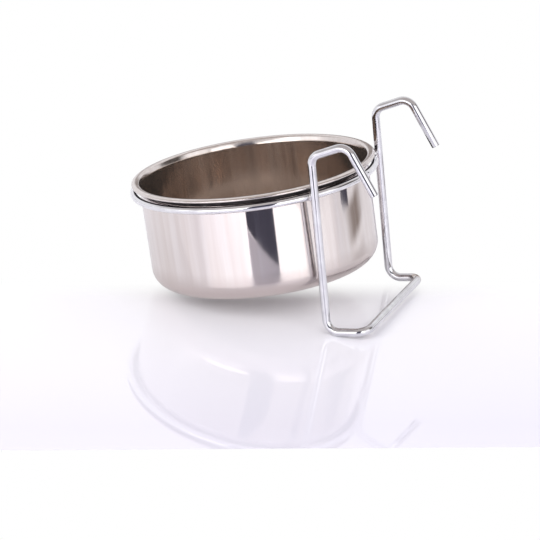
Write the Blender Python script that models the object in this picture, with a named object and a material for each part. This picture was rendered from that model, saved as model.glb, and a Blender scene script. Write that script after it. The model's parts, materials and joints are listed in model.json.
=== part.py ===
"""Hook-on cage cup: a deep-drawn steel cup that drops into a wire ring on a bent wire hanger.

The cup hangs by its two hooks on a cage bar. Set down on a table, as it is modelled here, it
leans: it rests on the edge of its base and on the two lower bends of the hanger.
"""
import math

import bpy
from mathutils import Vector

MM = 0.001

# Cup, turned about its own axis, with heights measured from the middle of the rolled rim
RIM_RADIUS = 65.0 * MM
ROLL_WIDTH = 4.1 * MM
ROLL_HEIGHT = 2.2 * MM
ROLL_END = math.radians(-105.0)
LIP_SPREAD = math.radians(16.0)
LIP_RADIUS = 4.0 * MM
SHEET = 0.6 * MM
WALL_TOP_RADIUS = 60.9 * MM
WALL_BASE_RADIUS = 60.6 * MM
CUP_DEPTH = 55.9 * MM
BASE_CORNER_RADIUS = 9.4 * MM

# Ring that the cup drops into
RING_RADIUS = 64.3 * MM
RING_WIRE = 3.8 * MM
RING_BELOW_RIM = 4.66 * MM
RING_ROLL = math.radians(-1.9)

# Hanger, one bent wire, with lengths measured to the corners before they are rounded
HANGER_WIRE = 4.3 * MM
UPRIGHT_SPACING = 83.7 * MM
UPRIGHT_ABOVE_RING = 23.1 * MM
UPRIGHT_BELOW_RING = 71.9 * MM
HOOK_REACH = 20.1 * MM
HOOK_RISE = 6.7 * MM
DROP_REACH = 13.2 * MM
DROP_HEIGHT = 26.1 * MM
NEAR_FOOT_REACH = 21.6 * MM
FAR_FOOT_REACH = 18.1 * MM
FOOT_RISE = 1.1 * MM
BEND_RADIUS = 6.5 * MM
HANGER_LEAN = math.radians(3.3)

# Welds between the ring and the two uprights
WELD_RADIUS = 2.9 * MM

# Space left between pieces that touch
GAP = 0.3 * MM

# Smoothness of the round pieces
TURN_STEPS = 64
WIRE_SIDES = 12
CORNER_STEPS = 6
LIP_STEPS = 3
ROLL_STEPS = 14
MERGE_DISTANCE = 0.00001


def clear_scene():
    """Start from an empty scene."""
    for old in list(bpy.data.objects):
        bpy.data.objects.remove(old, do_unlink=True)


def metal(name, colour, roughness):
    """A bare metal finish."""
    finish = bpy.data.materials.new(name)
    finish.use_nodes = True
    shader = finish.node_tree.nodes["Principled BSDF"]
    shader.inputs["Base Color"].default_value = (*colour, 1.0)
    shader.inputs["Metallic"].default_value = 1.0
    shader.inputs["Roughness"].default_value = roughness
    return finish


def add_object(name, data, parent, finish=None):
    """Put a mesh, a curve or an empty into the scene under a parent."""
    piece = bpy.data.objects.new(name, data)
    bpy.context.collection.objects.link(piece)
    piece.parent = parent
    if finish is not None:
        data.materials.append(finish)
    return piece


def rounded(corners, radius, steps):
    """Points along a path whose inner corners are replaced by arcs."""
    points = [corners[0]]
    for before, corner, after in zip(corners, corners[1:], corners[2:]):
        way_in = (before - corner).normalized()
        way_out = (after - corner).normalized()
        half_angle = way_in.angle(way_out) / 2.0
        middle = (way_in + way_out).normalized()
        centre = corner + middle * (radius / math.sin(half_angle))
        start = corner + way_in * (radius / math.tan(half_angle)) - centre
        end = corner + way_out * (radius / math.tan(half_angle)) - centre
        turn = math.pi - 2.0 * half_angle
        for step in range(steps + 1):
            share = step / steps
            spoke = start * math.sin((1.0 - share) * turn) + end * math.sin(share * turn)
            points.append(centre + spoke / math.sin(turn))
    points.append(corners[-1])
    return points


def offset(points, distance):
    """A flat path moved sideways, to its left, with its corners mitred."""
    moved = []
    for index, point in enumerate(points):
        sides = []
        if index > 0:
            sides.append((point - points[index - 1]).normalized())
        if index < len(points) - 1:
            sides.append((points[index + 1] - point).normalized())
        along = sum(sides, Vector((0.0, 0.0))).normalized()
        stretch = along.dot(sides[0])
        moved.append(point + Vector((-along.y, along.x)) * (distance / stretch))
    return moved


def cup_midline():
    """Middle of the cup's sheet, as radius and height, from the base to the end of the roll."""
    half = SHEET / 2.0
    base_height = half - CUP_DEPTH
    base_centre = Vector((0.0, base_height))
    base_corner = Vector((WALL_BASE_RADIUS - half, base_height))

    # The roll is an oval that starts where its side slopes as the lip does
    roll_centre = Vector((RIM_RADIUS - ROLL_WIDTH / 2.0, 0.0))
    wide = ROLL_WIDTH / 2.0 - half
    tall = ROLL_HEIGHT / 2.0 - half
    roll_start = math.pi - math.atan(math.tan(LIP_SPREAD) * tall / wide)
    roll = []
    for step in range(ROLL_STEPS + 1):
        angle = roll_start + (ROLL_END - roll_start) * step / ROLL_STEPS
        roll.append(roll_centre + Vector((math.cos(angle) * wide, math.sin(angle) * tall)))

    # The lip spreads from the straight wall to the roll
    wall_top = WALL_TOP_RADIUS - half
    lip_height = roll[0].y - (roll[0].x - wall_top) / math.tan(LIP_SPREAD)
    lip_corner = Vector((wall_top, lip_height))
    lower = rounded([base_centre, base_corner, lip_corner], BASE_CORNER_RADIUS - half, CORNER_STEPS)
    upper = rounded([lower[-2], lip_corner, roll[0]], LIP_RADIUS, LIP_STEPS)
    return lower[:-1] + upper[1:-1] + roll


def cup_profile():
    """Both faces of the sheet: up the inside, round the roll and down the outside."""
    midline = cup_midline()
    inside = offset(midline, SHEET / 2.0)
    outside = offset(midline, -SHEET / 2.0)
    return inside + outside[::-1]


def turned_mesh(name, profile):
    """A mesh of one open line, ready to be turned about Z."""
    mesh = bpy.data.meshes.new(name)
    points = [(point.x, 0.0, point.y) for point in profile]
    edges = [(index, index + 1) for index in range(len(points) - 1)]
    mesh.from_pydata(points, edges, [])
    return mesh


def add_cup(parent, finish):
    """The cup: one sheet, drawn deep, spread a little at the lip and rolled outwards."""
    cup = add_object("cup", turned_mesh("cup", cup_profile()), parent, finish)
    cup.location.z = RING_BELOW_RIM
    turn = cup.modifiers.new("Turn", "SCREW")
    turn.axis = "Z"
    turn.angle = 2.0 * math.pi
    turn.steps = TURN_STEPS
    turn.render_steps = TURN_STEPS
    turn.use_merge_vertices = True
    turn.merge_threshold = MERGE_DISTANCE
    turn.use_smooth_shade = True
    return cup


def ring_mesh(name, wire):
    """A closed wire ring."""
    bpy.ops.mesh.primitive_torus_add(
        major_segments=TURN_STEPS,
        minor_segments=WIRE_SIDES,
        major_radius=RING_RADIUS,
        minor_radius=wire / 2.0,
    )
    made = bpy.context.object
    mesh = made.data
    mesh.name = name
    mesh.shade_smooth()
    bpy.data.objects.remove(made, do_unlink=True)
    return mesh


def upright_offset():
    """How far the plane of the uprights stands out from the ring's centre."""
    touch = RING_RADIUS + RING_WIRE / 2.0 + HANGER_WIRE / 2.0 + GAP
    return math.sqrt(touch ** 2 - (UPRIGHT_SPACING / 2.0) ** 2)


def hanger_corners():
    """Corners of the hanger wire, tip to tip, from the near hook round the foot to the far hook."""
    half = UPRIGHT_SPACING / 2.0
    sides = []
    for across, foot_reach in ((-half, NEAR_FOOT_REACH), (half, FAR_FOOT_REACH)):
        hook_top = UPRIGHT_ABOVE_RING + HOOK_RISE
        sides.append([
            Vector((HOOK_REACH + DROP_REACH, across, hook_top - DROP_HEIGHT)),
            Vector((HOOK_REACH, across, hook_top)),
            Vector((0.0, across, UPRIGHT_ABOVE_RING)),
            Vector((0.0, across, -UPRIGHT_BELOW_RING)),
            Vector((foot_reach, across, FOOT_RISE - UPRIGHT_BELOW_RING)),
        ])
    near, far = sides
    return near + far[::-1]


def wire_curve(name, wire):
    """The hanger's bent wire as a round bar along its path."""
    path = rounded(hanger_corners(), BEND_RADIUS, CORNER_STEPS)
    curve = bpy.data.curves.new(name, "CURVE")
    curve.dimensions = "3D"
    curve.bevel_depth = wire / 2.0
    curve.bevel_resolution = (WIRE_SIDES - 4) // 2
    curve.use_fill_caps = True
    spline = curve.splines.new("POLY")
    spline.points.add(len(path) - 1)
    for point, place in zip(spline.points, path):
        point.co = (*place, 1.0)
    spline.use_smooth = True
    return curve


def add_hanger(name, wire, parent, finish=None):
    """The hanger, leaning out a little from the ring."""
    hanger = add_object(name, wire_curve(name, wire), parent, finish)
    hanger.location.x = upright_offset()
    hanger.rotation_euler.y = HANGER_LEAN
    return hanger


def as_cutter(piece):
    """Mark a piece as a tool that only cuts others."""
    piece.hide_render = True
    piece.display_type = "WIRE"
    return piece


def add_weld(name, side, parent, cutters, finish):
    """A weld collar round the crossing of the ring and one upright."""
    reach = RING_RADIUS + RING_WIRE / 2.0 + GAP / 2.0
    bearing = side * math.atan2(UPRIGHT_SPACING / 2.0, upright_offset())
    bpy.ops.mesh.primitive_ico_sphere_add(subdivisions=2, radius=WELD_RADIUS)
    made = bpy.context.object
    weld = add_object(name, made.data, parent, finish)
    bpy.data.objects.remove(made, do_unlink=True)
    across = reach * math.sin(bearing)
    weld.location = (
        reach * math.cos(bearing),
        across * math.cos(RING_ROLL),
        across * math.sin(RING_ROLL),
    )
    for cutter in cutters:
        cut = weld.modifiers.new("Cut by " + cutter.name, "BOOLEAN")
        cut.operation = "DIFFERENCE"
        cut.solver = "EXACT"
        cut.object = cutter
    return weld


def add_weld_cutters(stance, cup_seat):
    """Copies of the ring and the hanger, grown by the gap, that shape the welds."""
    ring_space = add_object("ring_space", ring_mesh("ring_space", RING_WIRE + 2.0 * GAP), cup_seat)
    bar = add_hanger("hanger_bar", HANGER_WIRE + 2.0 * GAP, stance)
    bpy.context.view_layer.update()
    seen = bar.evaluated_get(bpy.context.evaluated_depsgraph_get())
    solid = bpy.data.meshes.new_from_object(seen)
    hanger_space = add_object("hanger_space", solid, stance)
    hanger_space.location = bar.location
    hanger_space.rotation_euler = bar.rotation_euler
    bpy.data.objects.remove(bar, do_unlink=True)
    return [as_cutter(ring_space), as_cutter(hanger_space)]


def lowest_points(lean):
    """How far the cup's base edge and the hanger's lower bends reach down at a given lean."""
    up = Vector((math.sin(lean), 0.0, math.cos(lean)))
    cup_axis = Vector((0.0, -math.sin(RING_ROLL), math.cos(RING_ROLL)))
    tilt_cosine = up.dot(cup_axis)
    edge_height = RING_BELOW_RIM - CUP_DEPTH + BASE_CORNER_RADIUS
    edge_radius = WALL_BASE_RADIUS - BASE_CORNER_RADIUS
    edge_drop = edge_radius * math.sqrt(1.0 - tilt_cosine ** 2) + BASE_CORNER_RADIUS
    foot_slope = math.atan2(FOOT_RISE, (NEAR_FOOT_REACH + FAR_FOOT_REACH) / 2.0)
    bend_height = BEND_RADIUS * (1.0 + math.sin(foot_slope)) / math.cos(foot_slope)
    bend_centre = Vector((BEND_RADIUS, 0.0, bend_height - UPRIGHT_BELOW_RING))
    sine = math.sin(HANGER_LEAN)
    cosine = math.cos(HANGER_LEAN)
    bend_x = upright_offset() + cosine * bend_centre.x + sine * bend_centre.z
    bend_z = cosine * bend_centre.z - sine * bend_centre.x
    edge_low = edge_height * tilt_cosine - edge_drop
    bend_low = up.x * bend_x + up.z * bend_z - BEND_RADIUS - HANGER_WIRE / 2.0
    return edge_low, bend_low


def standing_lean():
    """The lean at which the cup's base edge and the hanger's bends touch one table."""
    upright, fallen = 0.0, math.radians(45.0)
    for _ in range(60):
        middle = (upright + fallen) / 2.0
        edge_low, bend_low = lowest_points(middle)
        if bend_low < edge_low:
            upright = middle
        else:
            fallen = middle
    return (upright + fallen) / 2.0


def stand_on_table(stance, pieces):
    """Lean the whole cup, set it on z = 0 and centre it over the origin."""
    stance.rotation_euler.y = -standing_lean()
    bpy.context.view_layer.update()
    graph = bpy.context.evaluated_depsgraph_get()
    corners = []
    for piece in pieces:
        mesh = piece.evaluated_get(graph).to_mesh()
        corners.extend(piece.matrix_world @ vertex.co for vertex in mesh.vertices)
    for axis in range(3):
        low = min(corner[axis] for corner in corners)
        high = max(corner[axis] for corner in corners)
        stance.location[axis] -= low if axis == 2 else (low + high) / 2.0


def build():
    """Make every piece of the cage cup."""
    clear_scene()
    steel = metal("polished steel sheet", (0.78, 0.76, 0.74), 0.15)
    ring_chrome = metal("chromed ring wire", (0.86, 0.86, 0.88), 0.07)
    hanger_chrome = metal("chromed hanger wire", (0.86, 0.86, 0.88), 0.07)
    weld_metal = metal("plated weld", (0.62, 0.6, 0.6), 0.3)

    stance = add_object("stance", None, None)
    cup_seat = add_object("cup_seat", None, stance)
    cup_seat.rotation_euler.x = RING_ROLL

    cup = add_cup(cup_seat, steel)
    ring = add_object("ring", ring_mesh("ring", RING_WIRE), cup_seat, ring_chrome)
    hanger = add_hanger("hanger", HANGER_WIRE, stance, hanger_chrome)
    cutters = add_weld_cutters(stance, cup_seat)
    near_weld = add_weld("near_weld", -1.0, stance, cutters, weld_metal)
    far_weld = add_weld("far_weld", 1.0, stance, cutters, weld_metal.copy())
    stand_on_table(stance, [cup, ring, hanger, near_weld, far_weld])


build()
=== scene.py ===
# %% [markdown]
# # A hook-on cage cup
#
# The object is a steel cup that drops into a wire ring. The ring is welded to one long bent wire, whose
# hooks go over the bars of a cage. Here it is set down on a glossy white table and leans a little.
# Almost everything that the eye sees on polished metal is a reflection, so this lesson spends as much
# care on the table and the studio round the cup as on the pieces themselves.

# %% Load the frame
import json
import math

import bmesh
import bpy
from mathutils import Matrix, Vector, noise


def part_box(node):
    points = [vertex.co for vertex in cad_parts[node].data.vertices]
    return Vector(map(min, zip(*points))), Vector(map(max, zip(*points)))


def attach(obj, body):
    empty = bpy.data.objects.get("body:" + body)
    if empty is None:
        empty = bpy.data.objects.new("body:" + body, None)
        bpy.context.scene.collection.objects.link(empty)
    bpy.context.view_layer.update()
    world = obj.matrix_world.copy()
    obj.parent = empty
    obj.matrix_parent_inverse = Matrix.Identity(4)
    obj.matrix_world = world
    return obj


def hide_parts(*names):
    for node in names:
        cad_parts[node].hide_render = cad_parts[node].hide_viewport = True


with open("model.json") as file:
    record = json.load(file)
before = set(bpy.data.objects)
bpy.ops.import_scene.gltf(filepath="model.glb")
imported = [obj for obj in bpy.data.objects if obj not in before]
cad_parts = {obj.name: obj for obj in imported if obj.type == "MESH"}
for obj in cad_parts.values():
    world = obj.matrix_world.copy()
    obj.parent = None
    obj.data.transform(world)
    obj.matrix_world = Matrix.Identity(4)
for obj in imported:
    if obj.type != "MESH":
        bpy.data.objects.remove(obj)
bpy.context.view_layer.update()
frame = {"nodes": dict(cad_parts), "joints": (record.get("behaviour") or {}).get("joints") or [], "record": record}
MM = 0.001
print("pieces in the frame:", sorted(frame["nodes"]))

# %% [markdown]
# ## Where things are
#
# The frame says where every piece is, so nothing is placed by eye. The ring's box gives its centre, the
# lifting joint runs along the cup's axis, and the hooks' mount points straight down the hanger's uprights.
# Three matrices then carry the cup, the ring and the hanger from their own upright drawings into the frame.

# %% Places read from the frame
RING_BELOW_RIM = 4.66 * MM
RING_RADIUS = 64.3 * MM
RING_WIRE = 3.8 * MM
HANGER_WIRE = 4.3 * MM
UPRIGHT_SPACING = 83.7 * MM
HANGER_LEAN = math.radians(3.3)
TOUCH_GAP = 0.3 * MM


def place(origin, across, up):
    """A matrix that puts a drawing's X along across and its Z along up."""
    along = up.cross(across)
    turn = Matrix((across, along, up)).transposed()
    return Matrix.Translation(origin) @ turn.to_4x4()


ring_low, ring_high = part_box("ring")
ring_centre = (ring_low + ring_high) / 2.0
cup_up = Vector(frame["joints"][0]["axis"]).normalized()
mounts = {mount["name"]: mount for mount in frame["record"]["mounts"]}
hanger_up = -Vector(mounts["hooks"]["axis"]).normalized()

level = Vector((0.0, 1.0, 0.0))
cup_across = level.cross(cup_up).normalized()
cup_place = place(ring_centre + cup_up * RING_BELOW_RIM, cup_across, cup_up)
ring_place = place(ring_centre, cup_across, cup_up)

hanger_across = level.cross(hanger_up)
touch = RING_RADIUS + (RING_WIRE + HANGER_WIRE) / 2.0 + TOUCH_GAP
upright_offset = math.sqrt(touch ** 2 - (UPRIGHT_SPACING / 2.0) ** 2)
outward = hanger_across * math.cos(HANGER_LEAN) + hanger_up * math.sin(HANGER_LEAN)
hanger_place = place(ring_centre + outward * upright_offset, hanger_across, hanger_up)
print("cup axis", [round(value, 4) for value in cup_up])

# %% [markdown]
# ## Camera
#
# The photograph was taken with a long lens from a step away, looking down at the table. A long lens keeps
# the near and the far side of the rim almost the same size. The camera also rolls a little.

# %% Camera
CAMERA_AZIMUTH = math.radians(23.773)
CAMERA_ELEVATION = math.radians(22.786)
CAMERA_ROLL = math.radians(-2.44)
CAMERA_DISTANCE = 1507.6 * MM
CAMERA_TARGET = Vector((6.33, -13.98, 15.77)) * MM
CAMERA_LENS = 190.0
SENSOR_WIDTH = 36.0
SKY = Vector((0.0, 0.0, 1.0))


def direction(azimuth, elevation):
    """The way from the object to a viewer at this azimuth and elevation."""
    flat = math.cos(elevation)
    return Vector((math.sin(azimuth) * flat, -math.cos(azimuth) * flat, math.sin(elevation)))


def add_object(name, data):
    """A new object in the scene, for a mesh, a curve, a camera or a lamp."""
    item = bpy.data.objects.new(name, data)
    bpy.context.collection.objects.link(item)
    return item


def add_camera():
    """A camera that looks along the photograph's line of sight."""
    lens = bpy.data.cameras.new("camera")
    lens.lens = CAMERA_LENS
    lens.sensor_width = SENSOR_WIDTH
    back = direction(CAMERA_AZIMUTH, CAMERA_ELEVATION)
    right = SKY.cross(back).normalized()
    rolled_right = right * math.cos(CAMERA_ROLL) - back.cross(right) * math.sin(CAMERA_ROLL)
    camera = add_object("camera", lens)
    camera.matrix_world = place(CAMERA_TARGET + back * CAMERA_DISTANCE, rolled_right, back)
    bpy.context.scene.camera = camera
    return camera


camera = add_camera()
bpy.context.scene.view_settings.view_transform = "Standard"
print("camera at", [round(value, 3) for value in camera.location])

# %% [markdown]
# ## Helpers for node trees
#
# Shader trees and geometry trees are built the same way: make nodes, set their sockets, link them. Three
# small helpers keep the cells that follow short. Three more stand for one node each: two masks brought
# together, a mask moved to another range of values, and a vector taken apart.

# %% Node helpers
def add_node(tree, kind, values=None, **settings):
    """A node with its settings and the values of its unlinked inputs."""
    node = tree.nodes.new(kind)
    for name, value in settings.items():
        setattr(node, name, value)
    for name, value in (values or {}).items():
        node.inputs[name].default_value = value
    return node


def join(tree, *pairs):
    """Link each output to its input."""
    for start, end in pairs:
        tree.links.new(start, end)


def new_group(name, kind, inputs, outputs):
    """An empty node group with its input and output nodes."""
    group = bpy.data.node_groups.new(name, kind)
    for title, socket in inputs:
        group.interface.new_socket(title, in_out="INPUT", socket_type=socket)
    for title, socket in outputs:
        group.interface.new_socket(title, in_out="OUTPUT", socket_type=socket)
    return group, group.nodes.new("NodeGroupInput"), group.nodes.new("NodeGroupOutput")


print("node helpers ready")

# %% Mask helpers
FULL = (0.0, 1.0)
EASED = "SMOOTHSTEP"


def combine(tree, operation, first, second):
    """Two masks brought together by one operation."""
    node = add_node(tree, "ShaderNodeMath", operation=operation)
    join(tree, (first, node.inputs[0]), (second, node.inputs[1]))
    return node.outputs["Value"]


def spread(tree, mask, source, target=FULL, easing="LINEAR"):
    """A mask moved from one range of values to another."""
    values = {"From Min": source[0], "From Max": source[1], "To Min": target[0], "To Max": target[1]}
    moved = add_node(tree, "ShaderNodeMapRange", values, interpolation_type=easing)
    join(tree, (mask, moved.inputs["Value"]))
    return moved.outputs["Result"]


def split(tree, vector):
    """The outputs X, Y and Z of a vector."""
    apart = add_node(tree, "ShaderNodeSeparateXYZ")
    join(tree, (vector, apart.inputs["Vector"]))
    return apart.outputs


print("mask helpers ready")

# %% [markdown]
# ## Shader groups: polishing lines and stains
#
# Two effects return on several pieces. A polishing wheel leaves fine lines that run one way, and heat or
# handling leaves a soft spot of another colour. Each is a node group that puts out only a mask, so that
# every material can use it with its own sizes and colours.

# %% Polishing lines
MASK_OUTPUT = [("Mask", "NodeSocketFloat")]
LINES_ROUGHNESS = 0.6


def make_lines_group():
    """Noise that is stretched by its own scale along each axis of the piece's drawing."""
    inputs = [("Vector", "NodeSocketVector"), ("Stretch", "NodeSocketVector"), ("Detail", "NodeSocketFloat")]
    group, start, end = new_group("polishing lines", "ShaderNodeTree", inputs, MASK_OUTPUT)
    stretched = add_node(group, "ShaderNodeVectorMath", operation="MULTIPLY")
    lines = add_node(group, "ShaderNodeTexNoise", {"Scale": 1.0, "Roughness": LINES_ROUGHNESS})
    join(
        group,
        (start.outputs["Vector"], stretched.inputs[0]),
        (start.outputs["Stretch"], stretched.inputs[1]),
        (stretched.outputs["Vector"], lines.inputs["Vector"]),
        (start.outputs["Detail"], lines.inputs["Detail"]),
        (lines.outputs["Fac"], end.inputs["Mask"]),
    )
    return group


polishing_lines = make_lines_group()
print("group:", polishing_lines.name)

# %% Stains
STAIN_PATCHES = 400.0
STAIN_DETAIL = 3.0
STAIN_EDGE = (1.4, 0.7)


def make_stain_group():
    """A soft ball of influence round one point, broken up by noise."""
    inputs = [("Vector", "NodeSocketVector"), ("Centre", "NodeSocketVector"), ("Reach", "NodeSocketFloat")]
    group, start, end = new_group("stain", "ShaderNodeTree", inputs, MASK_OUTPUT)
    away = add_node(group, "ShaderNodeVectorMath", operation="DISTANCE")
    patches = add_node(group, "ShaderNodeTexNoise", {"Scale": STAIN_PATCHES, "Detail": STAIN_DETAIL})
    join(
        group,
        (start.outputs["Vector"], away.inputs[0]),
        (start.outputs["Centre"], away.inputs[1]),
        (start.outputs["Vector"], patches.inputs["Vector"]),
    )
    share = combine(group, "DIVIDE", away.outputs["Value"], start.outputs["Reach"])
    broken = combine(group, "ADD", share, patches.outputs["Fac"])
    join(group, (spread(group, broken, STAIN_EDGE, easing=EASED), end.inputs["Mask"]))
    return group


stain = make_stain_group()
print("group:", stain.name)

# %% [markdown]
# ## Steel for the cup
#
# The cup is drawn from one sheet of stainless steel. Outside it is polished almost to a mirror, with faint
# upright streaks from drawing, and it is duller where the base was bent and the rim rolled. Round the bent
# base its colour is darker: painted shade, for the shadowed table that this corner mirrors. Inside it is
# satin: the wheel went round the wall, so each reflection is pulled out along the wall's height. Anisotropy
# does that, with a tangent that follows the UV map. Under the rolled rim, where no wheel reaches, a narrow
# groove stays dull, and its near-black colour is painted shade, for the deep gap between roll and ring.

# %% Helpers for finishes
def new_finish(name):
    """A new material and its node tree."""
    finish = bpy.data.materials.new(name)
    finish.use_nodes = True
    return finish, finish.node_tree


def new_metal(name):
    """A new material for metal, with its node tree and its Principled shader."""
    finish, tree = new_finish(name)
    shader = tree.nodes["Principled BSDF"]
    shader.inputs["Metallic"].default_value = 1.0
    return finish, tree, shader


def own_coordinates(tree, piece_place):
    """Object coordinates, turned into the piece's own upright drawing."""
    back = piece_place.inverted()
    where = add_node(tree, "ShaderNodeTexCoord")
    values = {"Rotation": back.to_euler(), "Location": back.to_translation()}
    turned = add_node(tree, "ShaderNodeMapping", values, vector_type="POINT")
    join(tree, (where.outputs["Object"], turned.inputs["Vector"]))
    return turned.outputs["Vector"]


def add_lines(tree, vector, stretch, detail):
    """The mask of one set of polishing lines."""
    values = {"Stretch": stretch, "Detail": detail}
    lines = add_node(tree, "ShaderNodeGroup", values, node_tree=polishing_lines)
    join(tree, (vector, lines.inputs["Vector"]))
    return lines.outputs["Mask"]


def blend_colours(tree, mask, first, second):
    """One colour where the mask is dark and another where it is light."""
    mix = add_node(tree, "ShaderNodeMix", data_type="RGBA")
    colours = [socket for socket in mix.inputs if socket.type == "RGBA"]
    for socket, colour in zip(colours, (first, second)):
        if isinstance(colour, tuple):
            socket.default_value = (*colour, 1.0)
        else:
            join(tree, (colour, socket))
    join(tree, (mask, mix.inputs["Factor"]))
    return [socket for socket in mix.outputs if socket.type == "RGBA"][0]


def set_look(tree, shader, colour, roughness):
    """Give a shader a colour and a roughness that change over the surface."""
    join(tree, (colour, shader.inputs["Base Color"]), (roughness, shader.inputs["Roughness"]))


def add_bump(tree, shader, height, distance):
    """Small relief from a height mask."""
    bump = add_node(tree, "ShaderNodeBump", {"Distance": distance})
    join(tree, (height, bump.inputs["Height"]), (bump.outputs["Normal"], shader.inputs["Normal"]))


print("finish helpers ready")

# %% Polished outside
STEEL_LIGHT = (0.73, 0.685, 0.67)
STEEL_DARK = (0.64, 0.58, 0.555)
# painted shade: the bent base corner is darkened, for the shadowed table that it mirrors
STEEL_BASE_SHADE = (0.54, 0.475, 0.455)
STEEL_STREAKS = (260.0, 260.0, 9.0)
STEEL_STREAK_DETAIL = 4.0
STEEL_CONTRAST = (0.3, 0.7)
STEEL_ROUGHNESS = (0.03, 0.09)
STEEL_WAVES = (60.0, 60.0, 12.0)
STEEL_WAVE_DETAIL = 1.0
STEEL_WAVE_HEIGHT = 0.05 * MM
BEND_TOP = (-51.0 * MM, -40.0 * MM)
BEND_BOTTOM = (-55.8 * MM, -55.0 * MM)
BEND_ROUGHNESS = (0.0, 0.18)
ROLL_ZONE = (-3.5 * MM, -1.0 * MM)
ROLL_ROUGHNESS = (0.0, 0.10)


def make_polished_steel():
    """Bright drawn steel with upright streaks, duller where bent and rolled, with painted shade at the base."""
    finish, tree, shader = new_metal("polished drawn steel")
    vector = own_coordinates(tree, cup_place)
    height = split(tree, vector)["Z"]
    streaks = add_lines(tree, vector, STEEL_STREAKS, STEEL_STREAK_DETAIL)
    below_wall = spread(tree, height, BEND_TOP, (1.0, 0.0))
    above_base = spread(tree, height, BEND_BOTTOM)
    bend = combine(tree, "MINIMUM", below_wall, above_base)
    bright = blend_colours(tree, spread(tree, streaks, STEEL_CONTRAST), STEEL_DARK, STEEL_LIGHT)
    # painted shade: the bent base corner takes the darker colour; the same mask also roughens it
    colour = blend_colours(tree, bend, bright, STEEL_BASE_SHADE)
    bend_wear = spread(tree, bend, FULL, BEND_ROUGHNESS)
    roll_wear = spread(tree, height, ROLL_ZONE, ROLL_ROUGHNESS)
    worked = combine(tree, "ADD", bend_wear, roll_wear)
    roughness = combine(tree, "ADD", spread(tree, streaks, STEEL_CONTRAST, STEEL_ROUGHNESS), worked)
    set_look(tree, shader, colour, roughness)
    waves = add_lines(tree, vector, STEEL_WAVES, STEEL_WAVE_DETAIL)
    add_bump(tree, shader, waves, STEEL_WAVE_HEIGHT)
    return finish


polished_steel = make_polished_steel()
print("finish:", polished_steel.name)

# %% Satin inside
SATIN_LIGHT = (0.645, 0.57, 0.52)
SATIN_DARK = (0.60, 0.525, 0.475)
SATIN_STREAKS = (300.0, 300.0, 6.0)
SATIN_STREAK_DETAIL = 3.0
SATIN_CONTRAST = (0.35, 0.65)
SATIN_ROUGHNESS = (0.10, 0.15)
SATIN_METALLIC = 0.97
SATIN_ANISOTROPY = 0.7
QUARTER_TURN = 0.25
SATIN_MARKS = (280.0, 280.0, 0.0)
SATIN_MARK_DETAIL = 1.0
SATIN_MARK_HEIGHT = 0.006 * MM


def add_ring_coordinates(tree, vector):
    """A vector of the distance from the axis and the height, the same all the way round."""
    flat = add_node(tree, "ShaderNodeVectorMath", {1: (1.0, 1.0, 0.0)}, operation="MULTIPLY")
    radius = add_node(tree, "ShaderNodeVectorMath", operation="LENGTH")
    rings = add_node(tree, "ShaderNodeCombineXYZ")
    join(
        tree,
        (vector, flat.inputs[0]),
        (flat.outputs["Vector"], radius.inputs[0]),
        (radius.outputs["Value"], rings.inputs["X"]),
        (split(tree, vector)["Z"], rings.inputs["Y"]),
    )
    return rings.outputs["Vector"]


def make_satin_steel():
    """Satin steel, polished round and round, with upright streaks and turned rings."""
    finish, tree, shader = new_metal("satin steel")
    vector = own_coordinates(tree, cup_place)
    streaks = add_lines(tree, vector, SATIN_STREAKS, SATIN_STREAK_DETAIL)
    colour = blend_colours(tree, spread(tree, streaks, SATIN_CONTRAST), SATIN_DARK, SATIN_LIGHT)
    set_look(tree, shader, colour, spread(tree, streaks, SATIN_CONTRAST, SATIN_ROUGHNESS))
    shader.inputs["Metallic"].default_value = SATIN_METALLIC
    shader.inputs["Anisotropic"].default_value = SATIN_ANISOTROPY
    shader.inputs["Anisotropic Rotation"].default_value = QUARTER_TURN
    tangent = add_node(tree, "ShaderNodeTangent", direction_type="UV_MAP")
    join(tree, (tangent.outputs["Tangent"], shader.inputs["Tangent"]))
    marks = add_lines(tree, add_ring_coordinates(tree, vector), SATIN_MARKS, SATIN_MARK_DETAIL)
    add_bump(tree, shader, marks, SATIN_MARK_HEIGHT)
    return finish


satin_steel = make_satin_steel()
print("finish:", satin_steel.name)

# %% Groove with painted shade
# The groove's near-black colours are painted shade for the deep gap under the roll; noise mottles them.
GROOVE_SHADE_DARK = (0.045, 0.04, 0.044)
GROOVE_SHADE_LIGHT = (0.11, 0.098, 0.10)
GROOVE_MOTTLE = (150.0, 150.0, 400.0)
GROOVE_MOTTLE_DETAIL = 3.0
GROOVE_CONTRAST = (0.4, 0.7)
GROOVE_ROUGHNESS = (0.5, 0.7)


def make_shaded_groove_steel():
    """Unpolished steel under the roll, where no wheel reaches, painted near-black as shade for the deep gap."""
    finish, tree, shader = new_metal("groove steel with painted shade")
    vector = own_coordinates(tree, cup_place)
    mottle = add_lines(tree, vector, GROOVE_MOTTLE, GROOVE_MOTTLE_DETAIL)
    colour = blend_colours(tree, spread(tree, mottle, GROOVE_CONTRAST), GROOVE_SHADE_DARK, GROOVE_SHADE_LIGHT)
    set_look(tree, shader, colour, spread(tree, mottle, FULL, GROOVE_ROUGHNESS))
    return finish


shaded_groove_steel = make_shaded_groove_steel()
print("finish:", shaded_groove_steel.name)

# %% [markdown]
# ## Chrome for the wires
#
# Ring and hanger are plated. Chrome is nearly a perfect mirror with a slight blue cast; the plating ripples
# a little over the drawn wire and dulls near the welds, where the steel was heated. The hanger is handled
# most, so its plating is a little duller than the ring's.

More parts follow.
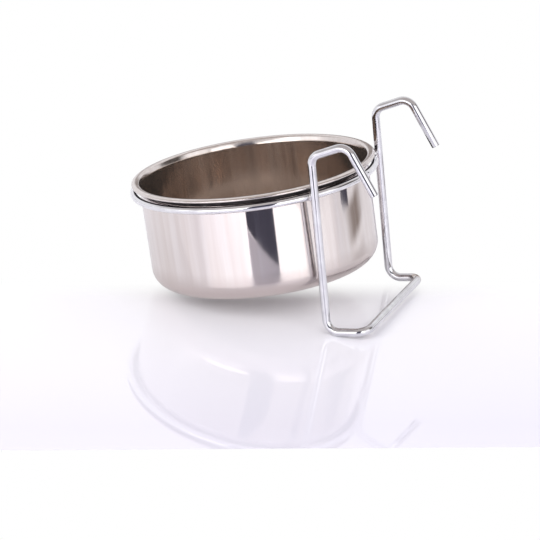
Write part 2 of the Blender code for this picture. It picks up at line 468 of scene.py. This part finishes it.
# %% Chrome
CHROME = (0.79, 0.79, 0.815)
CHROME_DULL = (0.67, 0.665, 0.70)
HANGER_CHROME = (0.72, 0.72, 0.745)
HANGER_DULL = (0.58, 0.575, 0.61)
HEAT_TINT = (0.42, 0.33, 0.27)
CHROME_CLOUD = (190.0, 190.0, 190.0)
CHROME_CLOUD_DETAIL = 3.0
CHROME_CONTRAST = (0.35, 0.75)
CHROME_WEAR = (0.3, 0.75)
CHROME_ROUGHNESS = (0.025, 0.06)
CHROME_RIPPLE = (70.0, 70.0, 70.0)
CHROME_RIPPLE_DETAIL = 0.0
CHROME_RIPPLE_HEIGHT = 0.02 * MM


def make_chrome(name, bright, dull, stains):
    """Bright plating, a little dull in places, with heat stains where they are given."""
    finish, tree, shader = new_metal(name)
    where = add_node(tree, "ShaderNodeTexCoord")
    vector = where.outputs["Object"]
    cloud = add_lines(tree, vector, CHROME_CLOUD, CHROME_CLOUD_DETAIL)
    colour = blend_colours(tree, spread(tree, cloud, CHROME_CONTRAST), bright, dull)
    for centre, reach in stains:
        spot = add_node(tree, "ShaderNodeGroup", {"Centre": centre, "Reach": reach}, node_tree=stain)
        join(tree, (vector, spot.inputs["Vector"]))
        colour = blend_colours(tree, spot.outputs["Mask"], colour, HEAT_TINT)
    set_look(tree, shader, colour, spread(tree, cloud, CHROME_WEAR, CHROME_ROUGHNESS))
    ripple = add_lines(tree, vector, CHROME_RIPPLE, CHROME_RIPPLE_DETAIL)
    add_bump(tree, shader, ripple, CHROME_RIPPLE_HEIGHT)
    return finish


print("chrome is mixed once the welds have their places")

# %% [markdown]
# ## The cup
#
# The cup is one sheet: a flat base, a round lower edge, an almost straight wall, a lip that spreads gently,
# and a rim rolled outwards into an oval so that nothing sharp is left. The middle line of the sheet is drawn
# first, then moved half a thickness to each side, and a geometry tree turns the outline about its axis. The
# faces then get their finish by where they look: satin inside, polished outside, and dull under the roll,
# where painted shade makes the steel near black.

# %% Outline helpers
def rounded(corners, radius, steps):
    """Points along a path whose inner corners are replaced by arcs."""
    points = [corners[0]]
    for before, corner, after in zip(corners, corners[1:], corners[2:]):
        way_in = (before - corner).normalized()
        way_out = (after - corner).normalized()
        half_angle = way_in.angle(way_out) / 2.0
        middle = (way_in + way_out).normalized()
        centre = corner + middle * (radius / math.sin(half_angle))
        start = corner + way_in * (radius / math.tan(half_angle)) - centre
        end = corner + way_out * (radius / math.tan(half_angle)) - centre
        turn = math.pi - 2.0 * half_angle
        for step in range(steps + 1):
            share = step / steps
            spoke = start * math.sin((1.0 - share) * turn) + end * math.sin(share * turn)
            points.append(centre + spoke / math.sin(turn))
    points.append(corners[-1])
    return points


def offset(points, distance):
    """A flat path moved sideways, to its left, with its corners mitred."""
    moved = []
    for index, point in enumerate(points):
        sides = []
        if index > 0:
            sides.append((point - points[index - 1]).normalized())
        if index < len(points) - 1:
            sides.append((points[index + 1] - point).normalized())
        along = sum(sides, Vector((0.0, 0.0))).normalized()
        stretch = along.dot(sides[0])
        moved.append(point + Vector((-along.y, along.x)) * (distance / stretch))
    return moved


print("outline helpers ready")

# %% Outline of the cup
RIM_RADIUS = 65.0 * MM
ROLL_WIDTH = 4.1 * MM
ROLL_HEIGHT = 2.2 * MM
SHEET = 0.6 * MM
WALL_TOP_RADIUS = 60.9 * MM
WALL_BASE_RADIUS = 60.6 * MM
CUP_DEPTH = 55.9 * MM
BASE_CORNER_RADIUS = 9.4 * MM
LIP_SPREAD = math.radians(16.0)
LIP_RADIUS = 4.0 * MM
ROLL_END = math.radians(-105.0)
CORNER_STEPS = 20
LIP_STEPS = 10
ROLL_STEPS = 40
FLAT_STEPS = 12
GROOVE_BELOW_LIP = 0.45 * MM


def cup_midline():
    """Middle of the sheet, as radius and height, from the base to the end of the roll."""
    half = SHEET / 2.0
    base_height = half - CUP_DEPTH
    base_centre = Vector((0.0, base_height))
    base_corner = Vector((WALL_BASE_RADIUS - half, base_height))
    roll_centre = Vector((RIM_RADIUS - ROLL_WIDTH / 2.0, 0.0))
    wide = ROLL_WIDTH / 2.0 - half
    tall = ROLL_HEIGHT / 2.0 - half
    roll_start = math.pi - math.atan(math.tan(LIP_SPREAD) * tall / wide)
    arc = [roll_start + (ROLL_END - roll_start) * step / ROLL_STEPS for step in range(ROLL_STEPS + 1)]
    roll = [roll_centre + Vector((math.cos(a) * wide, math.sin(a) * tall)) for a in arc]
    wall_top = WALL_TOP_RADIUS - half
    lip_corner = Vector((wall_top, roll[0].y - (roll[0].x - wall_top) / math.tan(LIP_SPREAD)))
    lower = rounded([base_centre, base_corner, lip_corner], BASE_CORNER_RADIUS - half, CORNER_STEPS)
    upper = rounded([lower[-2], lip_corner, roll[0]], LIP_RADIUS, LIP_STEPS)
    base = [base_centre.lerp(lower[1], step / FLAT_STEPS) for step in range(FLAT_STEPS)]
    wall = [lower[-2].lerp(upper[1], step / FLAT_STEPS) for step in range(1, FLAT_STEPS)]
    groove_end = upper[1] + (wall[-1] - upper[1]).normalized() * GROOVE_BELOW_LIP
    return base + lower[1:-1] + wall + [groove_end] + upper[1:-1] + roll


midline = cup_midline()
inner_line = offset(midline, SHEET / 2.0)
outer_line = offset(midline, -SHEET / 2.0)
cup_outline = inner_line + outer_line[::-1]
print("outline of the cup has", len(cup_outline), "points")

# %% Running a geometry tree
GEOMETRY = ("Geometry", "NodeSocketGeometry")
MERGE_DISTANCE = 0.002 * MM


def end_tree(tree, swept, start, end):
    """The last steps of both trees: close the seams, shade smooth, and give the mesh its finish."""
    merge = add_node(tree, "GeometryNodeMergeByDistance", {"Distance": MERGE_DISTANCE})
    smooth = add_node(tree, "GeometryNodeSetShadeSmooth")
    realize = add_node(tree, "GeometryNodeRealizeInstances")
    dress = add_node(tree, "GeometryNodeSetMaterial")
    join(
        tree,
        (swept, merge.inputs["Geometry"]),
        (merge.outputs["Geometry"], smooth.inputs["Geometry"]),
        (smooth.outputs["Geometry"], realize.inputs["Geometry"]),
        (realize.outputs["Geometry"], dress.inputs["Geometry"]),
        (start.outputs["Finish"], dress.inputs["Material"]),
        (dress.outputs["Geometry"], end.inputs["Geometry"]),
    )


def run_tree(source, tree, values):
    """The mesh that a geometry tree makes from an object, which is then removed."""
    modifier = source.modifiers.new(tree.name, "NODES")
    modifier.node_group = tree
    for item in tree.interface.items_tree:
        if item.in_out == "INPUT" and item.name in values:
            modifier[item.identifier] = values[item.name]
    bpy.context.view_layer.update()
    seen = source.evaluated_get(bpy.context.evaluated_depsgraph_get())
    mesh = bpy.data.meshes.new_from_object(seen)
    bpy.data.objects.remove(source, do_unlink=True)
    return mesh


print("tree helpers ready")

# %% A tree that turns an outline
AXLE_RADIUS = 1.0 * MM


def make_turning_tree():
    """Sweep an outline, drawn as a line of points, round a small circle on the axis."""
    inputs = [
        GEOMETRY,
        ("Steps", "NodeSocketInt"),
        ("Axle radius", "NodeSocketFloat"),
        ("Finish", "NodeSocketMaterial"),
    ]
    tree, start, end = new_group("turned sheet", "GeometryNodeTree", inputs, [GEOMETRY])
    outline = add_node(tree, "GeometryNodeMeshToCurve")
    circle = add_node(tree, "GeometryNodeCurvePrimitiveCircle")
    upright_circle = add_node(tree, "GeometryNodeSetCurveNormal", mode="Z_UP")
    sweep = add_node(tree, "GeometryNodeCurveToMesh")
    join(
        tree,
        (start.outputs["Geometry"], outline.inputs["Mesh"]),
        (start.outputs["Steps"], circle.inputs["Resolution"]),
        (start.outputs["Axle radius"], circle.inputs["Radius"]),
        (circle.outputs["Curve"], upright_circle.inputs["Curve"]),
        (upright_circle.outputs["Curve"], sweep.inputs["Curve"]),
        (outline.outputs["Curve"], sweep.inputs["Profile Curve"]),
    )
    end_tree(tree, sweep.outputs["Mesh"], start, end)
    return tree


turning = make_turning_tree()
print("tree:", turning.name)

# %% Finishes of the cup's faces
POLISHED, SATIN, SHADED_GROOVE = range(3)
INSIDE_BELOW = -1.0 * MM
LOOKS_IN = -0.2
LOOKS_UP = 0.3
LOOKS_STRAIGHT_IN = -0.9
GROOVE_BOTTOM = -3.4 * MM
GROOVE_NORMAL = -0.6
GROOVE_RADIUS = WALL_TOP_RADIUS + 0.5 * MM


def cup_finish_at(centre, normal, radial):
    """Which of the cup's finishes a face has, from its place and the way it looks."""
    facing_out = normal.dot(radial)
    inside = facing_out < LOOKS_IN or normal.z > LOOKS_UP
    if inside and centre.z < INSIDE_BELOW:
        return SATIN
    near_roll = centre.z > GROOVE_BOTTOM
    hidden = normal.z < GROOVE_NORMAL or centre.dot(radial) < GROOVE_RADIUS
    # faces hidden under the roll get the groove finish, whose near-black colour is painted shade
    if near_roll and hidden and facing_out > LOOKS_STRAIGHT_IN and normal.z < 0.0:
        return SHADED_GROOVE
    return POLISHED


print("finish rules ready")

# %% Turn the cup
TURN_STEPS = 256
ROUND = 2.0 * math.pi


def add_piece(name, mesh, piece_place, body, node):
    """Put a mesh into the scene, with its place in its points, in the stead of its plain solid."""
    mesh.transform(piece_place)
    mesh.name = name
    piece = add_object(name, mesh)
    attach(piece, body)
    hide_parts(node)
    print(name, "has", len(mesh.polygons), "faces")


def line_object(name, points):
    """A mesh of one open line."""
    mesh = bpy.data.meshes.new(name)
    mesh.from_pydata(points, [(index, index + 1) for index in range(len(points) - 1)], [])
    return add_object(name, mesh)


def turned_cup():
    """The cup's mesh, with a finish for each face and a UV map that goes round and along."""
    points = [(point.x - AXLE_RADIUS, -point.y, 0.0) for point in cup_outline]
    values = {"Steps": TURN_STEPS, "Axle radius": AXLE_RADIUS, "Finish": polished_steel}
    mesh = run_tree(line_object("cup outline", points), turning, values)
    solid = bmesh.new()
    solid.from_mesh(mesh)
    bmesh.ops.recalc_face_normals(solid, faces=solid.faces)
    round_map = solid.loops.layers.uv.new("round")
    for face in solid.faces:
        centre = face.calc_center_median()
        radial = Vector((centre.x, centre.y, 0.0)).normalized()
        face.material_index = cup_finish_at(centre, face.normal, radial)
        middle = math.atan2(centre.y, centre.x)
        for loop in face.loops:
            spot = loop.vert.co
            angle = math.atan2(spot.y, spot.x) - middle
            angle = middle + (angle + math.pi) % ROUND - math.pi
            along = spot.z / CUP_DEPTH + spot.xy.length / RIM_RADIUS
            loop[round_map].uv = (angle / ROUND, along)
    solid.to_mesh(mesh)
    solid.free()
    mesh.materials.append(satin_steel)
    mesh.materials.append(shaded_groove_steel)
    return mesh


add_piece("steel_cup", turned_cup(), cup_place, "cup", "cup")

# %% [markdown]
# ## The wires
#
# Ring and hanger are round wire bent along a path, so one geometry tree makes both: it rounds the corners
# of a path and sweeps a circle along it. The hanger's path has a corner for each bend. The ring's path is a
# square whose corners are rounded until only a circle is left.

# %% A tree that bends wire
def make_wire_tree():
    """Round the corners of a path and sweep a round wire along it."""
    inputs = [
        GEOMETRY,
        ("Wire diameter", "NodeSocketFloat"),
        ("Bend radius", "NodeSocketFloat"),
        ("Bend steps", "NodeSocketInt"),
        ("Sides", "NodeSocketInt"),
        ("Finish", "NodeSocketMaterial"),
    ]
    tree, start, end = new_group("bent wire", "GeometryNodeTree", inputs, [GEOMETRY])
    bends = add_node(tree, "GeometryNodeFilletCurve", mode="POLY")
    half = add_node(tree, "ShaderNodeMath", {1: 0.5}, operation="MULTIPLY")
    circle = add_node(tree, "GeometryNodeCurvePrimitiveCircle")
    thickness = add_node(tree, "GeometryNodeInputRadius")
    sweep = add_node(tree, "GeometryNodeCurveToMesh", {"Fill Caps": True})
    join(
        tree,
        (start.outputs["Geometry"], bends.inputs["Curve"]),
        (start.outputs["Bend radius"], bends.inputs["Radius"]),
        (start.outputs["Bend steps"], bends.inputs["Count"]),
        (start.outputs["Wire diameter"], half.inputs[0]),
        (start.outputs["Sides"], circle.inputs["Resolution"]),
        (half.outputs["Value"], circle.inputs["Radius"]),
        (bends.outputs["Curve"], sweep.inputs["Curve"]),
        (circle.outputs["Curve"], sweep.inputs["Profile Curve"]),
        (thickness.outputs["Radius"], sweep.inputs["Scale"]),
    )
    end_tree(tree, sweep.outputs["Mesh"], start, end)
    return tree


def path_object(name, points, closed):
    """A path of straight runs, each point with its own share of the wire's thickness."""
    curve = bpy.data.curves.new(name, "CURVE")
    curve.dimensions = "3D"
    spline = curve.splines.new("POLY")
    spline.points.add(len(points) - 1)
    for point, (where, thickness) in zip(spline.points, points):
        point.co = (*where, 1.0)
        point.radius = thickness
    spline.use_cyclic_u = closed
    return add_object(name, curve)


bending = make_wire_tree()
print("tree:", bending.name)

# %% Corners of the hanger
UPRIGHT_ABOVE_RING = 23.1 * MM
UPRIGHT_BELOW_RING = 71.9 * MM
HOOK_REACH = 20.1 * MM
HOOK_RISE = 6.7 * MM
DROP_REACH = 13.2 * MM
DROP_HEIGHT = 26.1 * MM
NEAR_FOOT_REACH = 21.6 * MM
FAR_FOOT_REACH = 18.1 * MM
FOOT_RISE = 1.1 * MM
TIP_BEVEL = 0.35 * MM
TIP_STEPS = 4


def hanger_side(across, foot_reach):
    """The corners of one half of the hanger, from the tip of its hook to its foot."""
    hook_top = UPRIGHT_ABOVE_RING + HOOK_RISE
    return [
        Vector((HOOK_REACH + DROP_REACH, across, hook_top - DROP_HEIGHT)),
        Vector((HOOK_REACH, across, hook_top)),
        Vector((0.0, across, UPRIGHT_ABOVE_RING)),
        Vector((0.0, across, -UPRIGHT_BELOW_RING)),
        Vector((foot_reach, across, FOOT_RISE - UPRIGHT_BELOW_RING)),
    ]


def tip_points(tip, inner):
    """The bevelled end of the wire, whose last short stretch gets thinner towards the tip."""
    back = (inner - tip).normalized()
    points = []
    for step in range(TIP_STEPS + 1):
        angle = math.pi / 2.0 * step / TIP_STEPS
        narrowing = TIP_BEVEL * (1.0 - math.sin(angle))
        points.append((tip + back * (TIP_BEVEL - narrowing), 1.0 - narrowing / (HANGER_WIRE / 2.0)))
    return points


near_side = hanger_side(-UPRIGHT_SPACING / 2.0, NEAR_FOOT_REACH)
far_side = hanger_side(UPRIGHT_SPACING / 2.0, FAR_FOOT_REACH)
corners = near_side + far_side[::-1]
hanger_path = tip_points(corners[0], corners[1])
hanger_path += [(corner, 1.0) for corner in corners[1:-1]]
hanger_path += tip_points(corners[-1], corners[-2])[::-1]
print("the hanger has", len(corners) - 2, "bends")

# %% Welds and stains: their places
WELD_STAIN = 3.4 * MM
FOOT_STAIN = 7.5 * MM
weld_bearing = math.atan2(UPRIGHT_SPACING / 2.0, upright_offset)
weld_reach = RING_RADIUS + RING_WIRE / 2.0 + TOUCH_GAP / 2.0


def weld_centre(side):
    """Where the ring touches an upright, on the near side (-1) or the far side (1)."""
    bearing = side * weld_bearing
    spot = Vector((math.cos(bearing), math.sin(bearing), 0.0)) * weld_reach
    return ring_place @ spot


weld_centres = {"near_weld": weld_centre(-1.0), "far_weld": weld_centre(1.0)}
weld_stains = [(centre, WELD_STAIN) for centre in weld_centres.values()]
hanger_stains = weld_stains + [(hanger_place @ far_side[-1], FOOT_STAIN)]
ring_chrome = make_chrome("ring chrome", CHROME, CHROME_DULL, weld_stains)
hanger_chrome = make_chrome("hanger chrome", HANGER_CHROME, HANGER_DULL, hanger_stains)
for node, centre in weld_centres.items():
    print(node, "at", [round(value, 4) for value in centre])

# %% Bend the hanger and the ring
WIRE_SIDES = 40
HANGER_BEND_RADIUS = 6.5 * MM
HANGER_BEND_STEPS = 24
RING_BEND_STEPS = 72
SQUARE = ((1, 1), (-1, 1), (-1, -1), (1, -1))


def bent_wire(path, diameter, bend_radius, bend_steps, finish):
    """The mesh of a wire that follows a path."""
    values = {
        "Wire diameter": diameter,
        "Bend radius": bend_radius,
        "Bend steps": bend_steps,
        "Sides": WIRE_SIDES,
        "Finish": finish,
    }
    return run_tree(path, bending, values)


hanger_line = path_object("hanger path", hanger_path, False)
hanger_mesh = bent_wire(hanger_line, HANGER_WIRE, HANGER_BEND_RADIUS, HANGER_BEND_STEPS, hanger_chrome)
add_piece("wire_hanger", hanger_mesh, hanger_place, "holder", "hanger")

ring_path = [(Vector((x, y, 0.0)) * RING_RADIUS, 1.0) for x, y in SQUARE]
ring_line = path_object("ring path", ring_path, True)
ring_mesh = bent_wire(ring_line, RING_WIRE, RING_RADIUS, RING_BEND_STEPS, ring_chrome)
add_piece("wire_ring", ring_mesh, ring_place, "holder", "ring")

# %% [markdown]
# ## The welds
#
# Each upright is fused to the outside of the ring. A resistance weld leaves little metal: the two wires sink
# into each other and a small, uneven bead squeezes out round the joint. A ball is flattened, pushed about by
# noise and set into the crossing, so that it runs into both wires.

# %% Weld finish
WELD_BRIGHT = (0.78, 0.77, 0.79)
WELD_DARK = (0.36, 0.32, 0.31)
WELD_CLOUD = (900.0, 900.0, 900.0)
WELD_CLOUD_DETAIL = 4.0
WELD_CONTRAST = (0.45, 0.7)
WELD_WEAR = (0.3, 0.7)
WELD_ROUGHNESS = (0.12, 0.4)
WELD_RELIEF = 0.15 * MM


def make_weld_finish():
    """Plating over rough metal: dark in the hollows."""
    finish, tree, shader = new_metal("plated weld")
    where = add_node(tree, "ShaderNodeTexCoord")
    cloud = add_lines(tree, where.outputs["Object"], WELD_CLOUD, WELD_CLOUD_DETAIL)
    colour = blend_colours(tree, spread(tree, cloud, WELD_CONTRAST), WELD_BRIGHT, WELD_DARK)
    set_look(tree, shader, colour, spread(tree, cloud, WELD_WEAR, WELD_ROUGHNESS))
    add_bump(tree, shader, cloud, WELD_RELIEF)
    return finish


weld_finish = make_weld_finish()
print("finish:", weld_finish.name)

# %% Weld beads
WELD_SIZE = Vector((1.5, 2.7, 2.7)) * MM
WELD_UNEVENNESS = 0.5 * MM
WELD_LUMPS = 1.3
WELD_NOISE_SHIFT = 520.0
WELD_SUBDIVISIONS = 4


def weld_mesh(name, centre):
    """An uneven bead in the crossing of two wires, flat across the ring's radius, and its place."""
    bead = bmesh.new()
    bmesh.ops.create_icosphere(bead, subdivisions=WELD_SUBDIVISIONS, radius=1.0)
    outward_way = (centre - ring_centre).normalized()
    sideways = hanger_up.cross(outward_way).normalized()
    for vertex in bead.verts:
        spoke = vertex.co.copy()
        lump = noise.noise(spoke * WELD_LUMPS + centre * WELD_NOISE_SHIFT)
        vertex.co = spoke * WELD_SIZE + spoke * lump * WELD_UNEVENNESS
    for face in bead.faces:
        face.smooth = True
    mesh = bpy.data.meshes.new(name)
    bead.to_mesh(mesh)
    bead.free()
    mesh.materials.append(weld_finish)
    return mesh, place(centre, outward_way, outward_way.cross(sideways))


for node, centre in weld_centres.items():
    bead_mesh, bead_place = weld_mesh(node + "_bead", centre)
    add_piece(node + "_bead", bead_mesh, bead_place, "holder", node)

# %% [markdown]
# ## Table
#
# The table is glossy and white. Light scatters below its surface, and its clear top layer mirrors the cup
# more strongly the flatter one looks along it. A Principled shader with a smooth surface does both. Towards
# the front, up to a straight edge, painted shade makes the table a little greyer. Past that edge, behind the
# cup and far from it, the camera sees plain white, painted over the table's shading and the cup's shadow.

# %% Sheets for the stage
SHEET_MAP = ((0, 0), (1, 0), (1, 1), (0, 1))


def add_sheet(name, corners, finish):
    """One flat four-sided face of the stage, with a UV map from corner to corner."""
    mesh = bpy.data.meshes.new(name)
    mesh.from_pydata(corners, [], [range(4)])
    card_map = mesh.uv_layers.new(name="card")
    for loop, spot in zip(card_map.data, SHEET_MAP):
        loop.uv = spot
    mesh.materials.append(finish)
    sheet = add_object(name, mesh)
    return sheet


def blend_shaders(tree, mask, first, second):
    """One shader where the mask is dark and another where it is light."""
    mix = add_node(tree, "ShaderNodeMixShader")
    join(tree, (mask, mix.inputs["Fac"]), (first, mix.inputs[1]), (second, mix.inputs[2]))
    return mix.outputs["Shader"]


print("stage helpers ready")

# %% Table
TABLE_HALF = 3.0
TABLE_WHITE = (0.96, 0.955, 0.97)
TABLE_SHADE = (0.745, 0.725, 0.795)
TABLE_ROUGHNESS = 0.015
TABLE_IOR = 1.75
SHADE_TO_FRONT = (0.0, 0.17)
TABLE_EDGE = 0.195
WHITE_BEHIND = (0.022, -0.006)
WHITE_CENTRE = Vector((0.035, -0.085, 0.0))
WHITE_AROUND = (0.17, 0.34)
WHITE = (1.0, 1.0, 1.0, 1.0)


def make_table_finish():
    """Glossy white near the cup, with painted shade to the front, fading for the camera into background white."""
    finish, tree = new_finish("glossy white table")
    shader = tree.nodes["Principled BSDF"]
    shader.inputs["Roughness"].default_value = TABLE_ROUGHNESS
    shader.inputs["IOR"].default_value = TABLE_IOR
    roll_turn = math.atan(math.tan(-CAMERA_ROLL) / math.sin(CAMERA_ELEVATION))
    forwards = direction(CAMERA_AZIMUTH + roll_turn, 0.0)
    where = add_node(tree, "ShaderNodeTexCoord").outputs["Object"]
    front = add_node(tree, "ShaderNodeVectorMath", {1: forwards}, operation="DOT_PRODUCT")
    away = add_node(tree, "ShaderNodeVectorMath", {1: WHITE_CENTRE}, operation="DISTANCE")
    past_edge = add_node(tree, "ShaderNodeMath", {1: TABLE_EDGE}, operation="GREATER_THAN")
    join(
        tree,
        (where, front.inputs[0]),
        (where, away.inputs[0]),
        (front.outputs["Value"], past_edge.inputs[0]),
    )
    # painted shade: the table's colour greys towards the front
    shade = spread(tree, front.outputs["Value"], SHADE_TO_FRONT)
    join(tree, (blend_colours(tree, shade, TABLE_WHITE, TABLE_SHADE), shader.inputs["Base Color"]))

    # painted light: behind the cup and far from it the camera sees white, hiding the table's shading and the cup's
    # shadow
    around = spread(tree, away.outputs["Value"], WHITE_AROUND, easing=EASED)
    behind = spread(tree, front.outputs["Value"], WHITE_BEHIND, easing=EASED)
    far = combine(tree, "MAXIMUM", around, behind)
    blank = combine(tree, "MAXIMUM", far, past_edge.outputs["Value"])
    rays = add_node(tree, "ShaderNodeLightPath")
    seen_blank = combine(tree, "MULTIPLY", blank, rays.outputs["Is Camera Ray"])
    white = add_node(tree, "ShaderNodeEmission", {"Color": WHITE, "Strength": 1.0})
    surface = blend_shaders(tree, seen_blank, shader.outputs["BSDF"], white.outputs["Emission"])
    join(tree, (surface, tree.nodes["Material Output"].inputs["Surface"]))
    return finish


table_corners = [(x * TABLE_HALF, y * TABLE_HALF, 0.0) for x, y in ((-1, -1), (1, -1), (1, 1), (-1, 1))]
add_sheet("table", table_corners, make_table_finish())
print("table is", 2.0 * TABLE_HALF, "metres wide")

# %% [markdown]
# ## Studio
#
# A photographer shapes polished metal with what stands round it: soft boxes give the white bands, dark cards
# give the edges. The cards here are seen only by reflections, so they neither hide the cup nor dim the light.
# Most of them fade out towards their sides, because the bands in the photograph have soft edges.

# %% Card finish
def make_card_finish(name, colour, strength, soft):
    """A card of even brightness that fades out over a share of its width and of its height."""
    finish, tree = new_finish(name)
    tree.nodes.remove(tree.nodes["Principled BSDF"])
    where = add_node(tree, "ShaderNodeTexCoord")
    axes = split(tree, where.outputs["UV"])
    fades = []
    for axis, share in zip("XY", soft):
        edge = add_node(tree, "ShaderNodeMath", {1: 0.5}, operation="PINGPONG")
        join(tree, (axes[axis], edge.inputs[0]))
        fades.append(spread(tree, edge.outputs["Value"], (0.0, share), easing=EASED))
    glow = add_node(tree, "ShaderNodeEmission", {"Color": (*colour, 1.0), "Strength": strength})
    clear = add_node(tree, "ShaderNodeBsdfTransparent")
    mask = combine(tree, "MULTIPLY", *fades)
    surface = blend_shaders(tree, mask, clear.outputs["BSDF"], glow.outputs["Emission"])
    join(tree, (surface, tree.nodes["Material Output"].inputs["Surface"]))
    return finish


print("card finish ready")

# %% Card helpers
CRISP = 0.002


def upright(start, end, low, high):
    """The corners of a card that stands over a line on the table."""
    return [(*start, low), (*end, low), (*end, high), (*start, high)]


def facing(left, right, distance, low, high):
    """The corners of an upright card that spans a range of azimuths, given in degrees."""
    ends = [direction(math.radians(azimuth), 0.0) * distance for azimuth in (left, right)]
    return upright(ends[0].xy, ends[1].xy, low, high)


def add_card(name, corners, colour, strength=1.0, soft=(CRISP, CRISP)):
    """A card for reflections alone."""
    card = add_sheet(name, corners, make_card_finish(name, colour, strength, soft))
    card.visible_camera = False
    card.visible_diffuse = False
    card.visible_shadow = False
    print(name, "stands in the studio")


print("card helpers ready")

# %% Cards close to the cup
CARD_DARK = (0.082, 0.08, 0.115)
CARD_BROWN = (0.30, 0.26, 0.245)
FRONT_CARD = ((0.091, -0.3365), (0.212, -0.259))
BACK_CARD = ((0.306, 0.109), (0.152, 0.2275))
SIDE_CARD = ((0.613, 0.258), (0.441, 0.274), (0.760, 0.560), (1.050, 0.520))
SIDE_CARD_LIFT = 1.0 * MM

add_card("front card", upright(*FRONT_CARD, low=0.0, high=0.29), CARD_DARK)
add_card("side card", [(*spot, SIDE_CARD_LIFT) for spot in SIDE_CARD], CARD_DARK, soft=(0.03, 0.02))
add_card("back card", upright(*BACK_CARD, low=0.0, high=0.034), CARD_BROWN, strength=1.2, soft=(0.45, 0.3))

# %% Soft boxes, flag and walls
CARD_WHITE = (1.0, 0.99, 1.0)

left_box = facing(left=-36.0, right=28.0, distance=1.2, low=0.08, high=0.5)
add_card("left soft box", left_box, CARD_WHITE, strength=2.8, soft=(0.25, 0.08))
left_glow = facing(left=-66.0, right=-24.0, distance=1.25, low=0.08, high=0.5)
add_card("left glow", left_glow, CARD_WHITE, strength=1.6, soft=(0.5, 0.08))
right_box = facing(left=39.0, right=69.0, distance=1.2, low=0.0, high=0.85)
add_card("right soft box", right_box, CARD_WHITE, strength=2.2, soft=(0.09, 0.02))
side_flag = facing(left=102.0, right=142.0, distance=1.2, low=0.28, high=1.05)
add_card("side flag", side_flag, CARD_BROWN, strength=0.35, soft=(0.25, 0.2))
right_wall = facing(left=66.0, right=108.0, distance=1.6, low=0.0, high=1.2)
add_card("right wall", right_wall, CARD_WHITE, strength=1.4, soft=(0.25, 0.04))
back_wall = facing(left=150.0, right=260.0, distance=1.8, low=0.4, high=1.6)
add_card("back wall", back_wall, CARD_WHITE, soft=(0.2, 0.15))
back_edge = facing(left=186.0, right=218.0, distance=1.7, low=0.0, high=0.42)
add_card("back edge", back_edge, CARD_BROWN, soft=(0.28, 0.2))

# %% [markdown]
# ## Light
#
# The world plays three parts. The camera sees it white, reflections see a room that darkens towards its
# ceiling, and everything else gets an even light from it. Three wide lamps light the table and give the cup
# its soft shadow. They stay out of the reflections, where the cards do their work.

# %% World
ROOM_LOW = (1.0, 0.99, 1.01)
ROOM_MIDDLE = (0.64, 0.61, 0.60)
ROOM_HIGH = (0.60, 0.55, 0.53)
ROOM_LOW_AT = 0.25
ROOM_MIDDLE_AT = 0.5
ROOM_HIGH_AT = 0.85
AMBIENT = (0.62, 0.605, 0.65)


def make_room_ramp(tree, height):
    """The colours of the room, from its floor to its ceiling."""
    ramp = add_node(tree, "ShaderNodeValToRGB")
    stops = ramp.color_ramp.elements
    stops[0].position = ROOM_LOW_AT
    stops[0].color = (*ROOM_LOW, 1.0)
    stops[1].position = ROOM_HIGH_AT
    stops[1].color = (*ROOM_HIGH, 1.0)
    middle = stops.new(ROOM_MIDDLE_AT)
    middle.color = (*ROOM_MIDDLE, 1.0)
    join(tree, (height, ramp.inputs["Fac"]))
    return ramp.outputs["Color"]


def make_world():
    """White to the camera, a room with a dark ceiling to reflections, even light to all else."""
    world = bpy.data.worlds.new("studio")
    world.use_nodes = True
    bpy.context.scene.world = world
    tree = world.node_tree
    where = add_node(tree, "ShaderNodeTexCoord")
    height = split(tree, where.outputs["Generated"])["Z"]
    even = tree.nodes["Background"]
    even.inputs["Color"].default_value = (*AMBIENT, 1.0)
    room = add_node(tree, "ShaderNodeBackground")
    white = add_node(tree, "ShaderNodeBackground", {"Color": WHITE, "Strength": 1.0})
    join(tree, (make_room_ramp(tree, height), room.inputs["Color"]))
    rays = add_node(tree, "ShaderNodeLightPath").outputs
    lit = blend_shaders(tree, rays["Is Glossy Ray"], even.outputs["Background"], room.outputs["Background"])
    seen = blend_shaders(tree, rays["Is Camera Ray"], lit, white.outputs["Background"])
    join(tree, (seen, tree.nodes["World Output"].inputs["Surface"]))


make_world()
print("world ready")

# %% Lamps
LAMP_SIZE = 1.0
LAMP_DISTANCE = 1.4


def add_lamp(name, azimuth, elevation, watts):
    """A wide soft lamp for the table, which stays out of the reflections."""
    lamp = bpy.data.lights.new(name, "AREA")
    lamp.size = LAMP_SIZE
    lamp.energy = watts
    back = direction(math.radians(azimuth), math.radians(elevation))
    right = SKY.cross(back).normalized()
    panel = add_object(name, lamp)
    panel.matrix_world = place(back * LAMP_DISTANCE, right, back)
    panel.visible_glossy = False


add_lamp("left lamp", azimuth=-12.0, elevation=30.0, watts=14.0)
add_lamp("right lamp", azimuth=58.0, elevation=30.0, watts=7.4)
add_lamp("side lamp", azimuth=120.0, elevation=35.0, watts=2.6)
print("studio ready")
